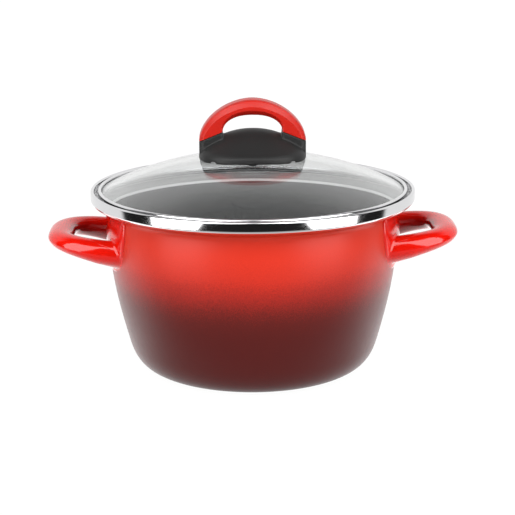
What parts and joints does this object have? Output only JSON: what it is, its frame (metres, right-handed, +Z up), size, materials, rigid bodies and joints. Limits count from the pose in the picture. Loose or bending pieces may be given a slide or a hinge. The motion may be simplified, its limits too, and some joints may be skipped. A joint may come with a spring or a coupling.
{
  "type": "two-handled cooking pot with glass lid",
  "caption": "Round flared enamelled pot with a rolled steel rim, two tubular loop handles and a domed glass lid lifted by an arched knob.",
  "frame": {"origin": "centre of the underside of the pot's base, on the pot's axis", "axes": "+X runs along the line through both handles, +Z is up along the pot's axis"},
  "size_m": [0.2808, 0.222, 0.1882],
  "materials": {
    "body_enamel": "satin enamel, bright red fading to maroon at the foot",
    "handle_enamel": "gloss enamel",
    "rim_steel": "polished",
    "lid_glass": "clear",
    "knob_black": "satin",
    "knob_red": "soft touch",
    "brass": "turned",
    "screw_steel": "machined",
    "silicone": "matt"
  },
  "bodies": {
    "pot": {"pot_shell": "body_enamel", "pot_rim_band": "rim_steel", "left_handle_saddle": "handle_enamel", "left_handle_bow": "handle_enamel", "right_handle_saddle": "handle_enamel", "right_handle_bow": "handle_enamel"},
    "lid": {"lid_glass": "lid_glass", "lid_band": "rim_steel", "knob_base": "knob_black", "knob_arch": "knob_red", "knob_insert": "brass", "knob_screw": "screw_steel", "screw_washer": "screw_steel", "lower_gasket": "silicone", "upper_gasket": "silicone", "arch_screw_left": "screw_steel", "arch_screw_right": "screw_steel"}
  },
  "joints": [
    {"name": "lid_lift", "type": "slide", "parent": "pot", "child": "lid", "axis": [0, 0, 1], "range_m": [0, 0.15]}
  ]
}
